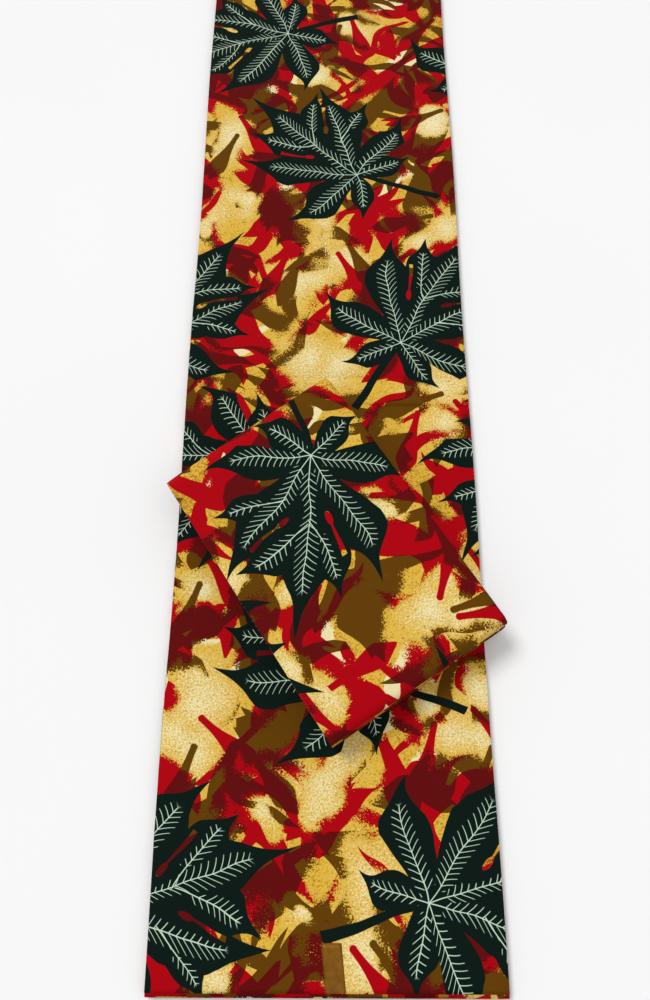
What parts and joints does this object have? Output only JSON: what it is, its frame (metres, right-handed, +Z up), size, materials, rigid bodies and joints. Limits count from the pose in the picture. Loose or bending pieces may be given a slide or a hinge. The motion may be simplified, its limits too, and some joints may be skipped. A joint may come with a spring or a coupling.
{
  "type": "folded wax print fabric with a folded bundle on it",
  "caption": "Printed cotton cloth fan-folded into a long flat run, with a smaller folded bundle of the same cloth lying askew on it, and a blank sticker over the near edge.",
  "frame": {"origin": "on the surface it lies on, under the middle of the whole part's box", "axes": "+Y along the run, from the stickered selvedge to the far one, +X across the run, +Z up"},
  "size_m": [0.3266, 1.1782, 0.0453],
  "materials": {
    "printed_cotton": "plain-weave cotton, printed with leaves in bottle green on crimson, ochre and cream, matte with a slight wax sheen",
    "bronze_paper": "satin bronze paper, blank"
  },
  "bodies": {
    "root": {"run_top": "printed_cotton", "run_layers": "printed_cotton", "sticker": "bronze_paper", "bundle_top": "printed_cotton", "bundle_layers": "printed_cotton"}
  },
  "joints": []
}
